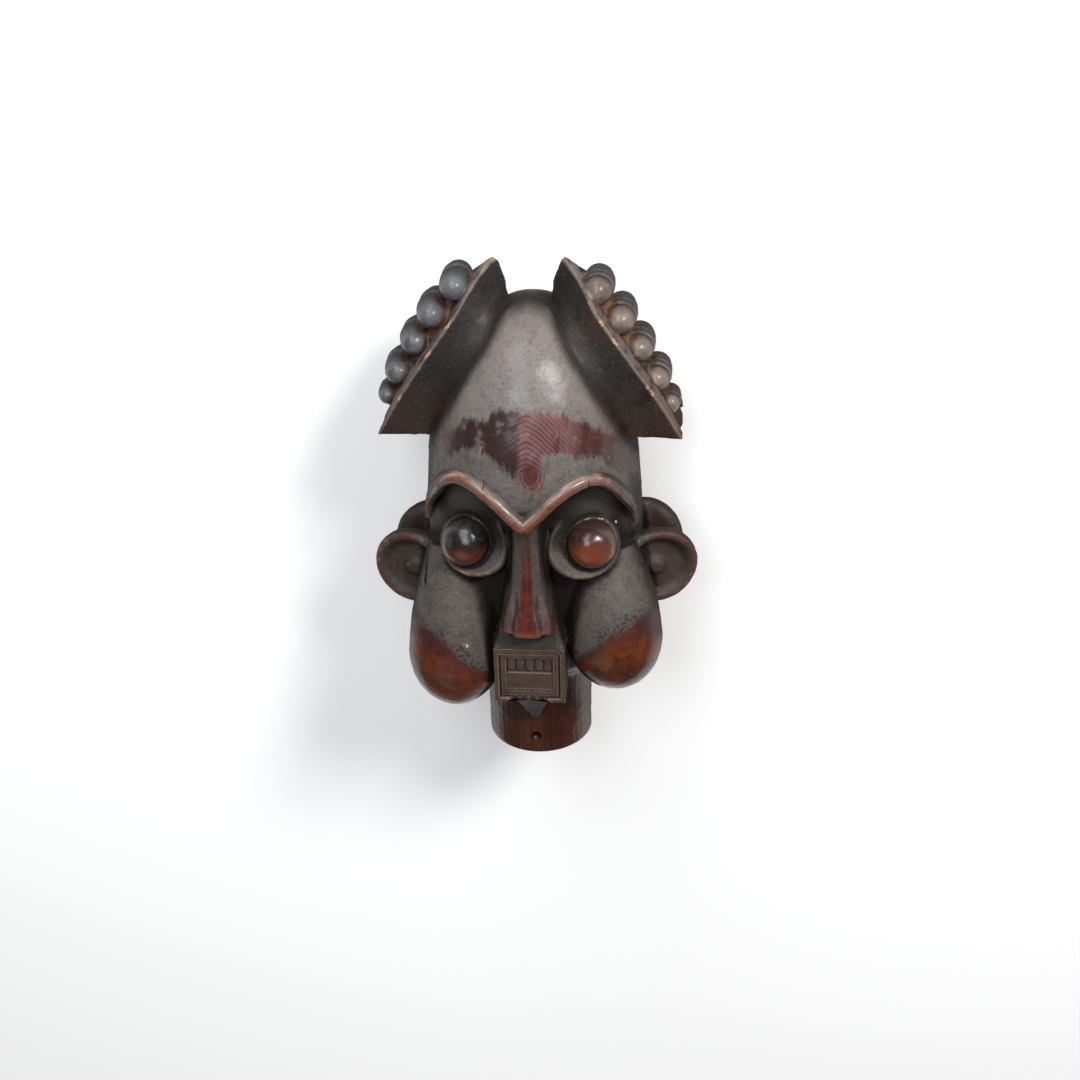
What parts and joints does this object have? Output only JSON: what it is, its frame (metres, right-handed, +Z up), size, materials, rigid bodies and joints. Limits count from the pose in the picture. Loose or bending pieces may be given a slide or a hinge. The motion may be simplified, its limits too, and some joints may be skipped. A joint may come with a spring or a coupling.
{
  "type": "janus mask",
  "caption": "Two-faced carved wooden mask with a domed forehead, twin knobbed crests, bulging eyes, hanging cheeks and a hollow neck, lying on its rear face.",
  "frame": {"origin": "under the middle of the mask, on the surface that it lies on", "axes": "+X to the viewer's right of the front face, +Y from the neck to the crown, +Z up, the way the front face looks"},
  "size_m": [0.26, 0.4222, 0.196],
  "materials": {
    "wood": "dark dusty patina with rubbed, polished red-brown places"
  },
  "bodies": {
    "root": {"janus_mask": "wood"}
  },
  "joints": []
}
